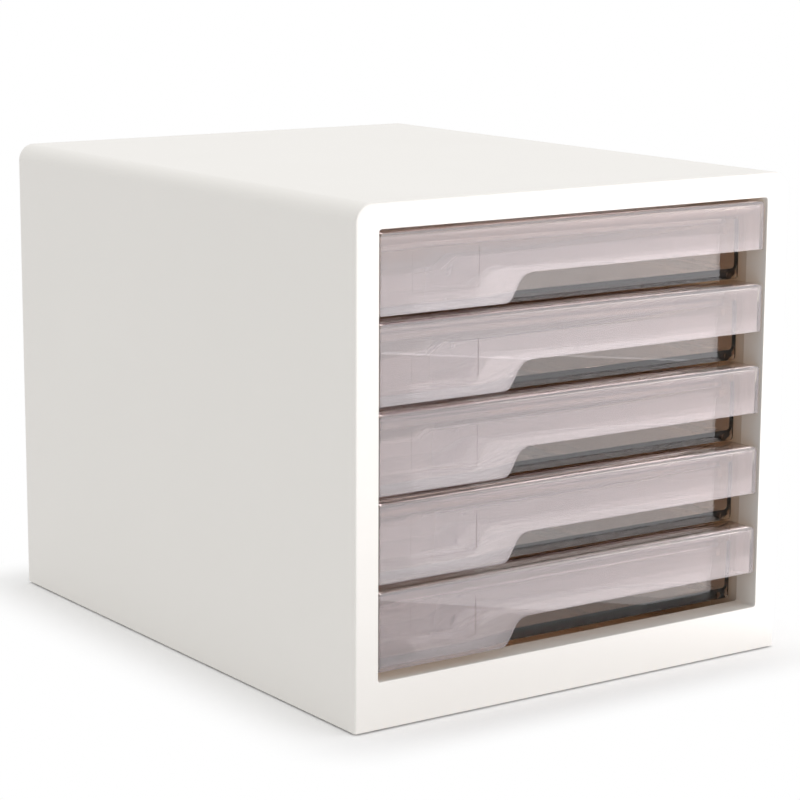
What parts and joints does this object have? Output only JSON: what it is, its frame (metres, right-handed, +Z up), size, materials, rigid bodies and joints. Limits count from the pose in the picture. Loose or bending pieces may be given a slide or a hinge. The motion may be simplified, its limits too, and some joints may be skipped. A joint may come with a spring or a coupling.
{
  "type": "desktop file drawer cabinet",
  "caption": "Desktop file cabinet: a white moulded housing with a stack of smoky clear sliding drawers for A4 sheets, each pulled by a finger cut-out in its front.",
  "frame": {"origin": "centre of the cabinet's footprint, on the surface that its feet stand on", "axes": "+Z up, -Y out of the drawers' fronts, +X to the right seen from the front"},
  "size_m": [0.271, 0.343, 0.257],
  "materials": {
    "white_abs": "white ABS, satin moulded surface",
    "inner_abs": "off-white ABS, plain moulded inner panel",
    "taupe_abs": "beige-grey ABS, plain moulded",
    "smoky_styrene": "smoky clear styrene, polished",
    "smoky_front": "smoky clear styrene, polished, slightly hazy",
    "grey_rubber": "moulded rubber",
    "zinc_steel": "zinc plated"
  },
  "bodies": {
    "cabinet": {"cabinet_housing": "white_abs", "base_panel": "white_abs", "rear_panel": "white_abs", "runner_panel_left": "inner_abs", "runner_panel_right": "inner_abs", "stop_post_left": "taupe_abs", "stop_post_right": "taupe_abs", "foot_front_left": "grey_rubber", "foot_front_right": "grey_rubber", "foot_rear_left": "grey_rubber", "foot_rear_right": "grey_rubber", "base_screws": "zinc_steel", "rear_screws": "zinc_steel"},
    "drawer_1": {"drawer_1_front": "smoky_front", "drawer_1_tray": "smoky_styrene"},
    "drawer_2": {"drawer_2_front": "smoky_front", "drawer_2_tray": "smoky_styrene"},
    "drawer_3": {"drawer_3_front": "smoky_front", "drawer_3_tray": "smoky_styrene"},
    "drawer_4": {"drawer_4_front": "smoky_front", "drawer_4_tray": "smoky_styrene"},
    "drawer_5": {"drawer_5_front": "smoky_front", "drawer_5_tray": "smoky_styrene"}
  },
  "joints": [
    {"name": "drawer_1_slide", "type": "slide", "parent": "cabinet", "child": "drawer_1", "axis": [0, -1, 0], "range_m": [0, 0.262]},
    {"name": "drawer_2_slide", "type": "slide", "parent": "cabinet", "child": "drawer_2", "axis": [0, -1, 0], "range_m": [0, 0.262]},
    {"name": "drawer_3_slide", "type": "slide", "parent": "cabinet", "child": "drawer_3", "axis": [0, -1, 0], "range_m": [0, 0.262]},
    {"name": "drawer_4_slide", "type": "slide", "parent": "cabinet", "child": "drawer_4", "axis": [0, -1, 0], "range_m": [0, 0.262]},
    {"name": "drawer_5_slide", "type": "slide", "parent": "cabinet", "child": "drawer_5", "axis": [0, -1, 0], "range_m": [0, 0.262]}
  ]
}
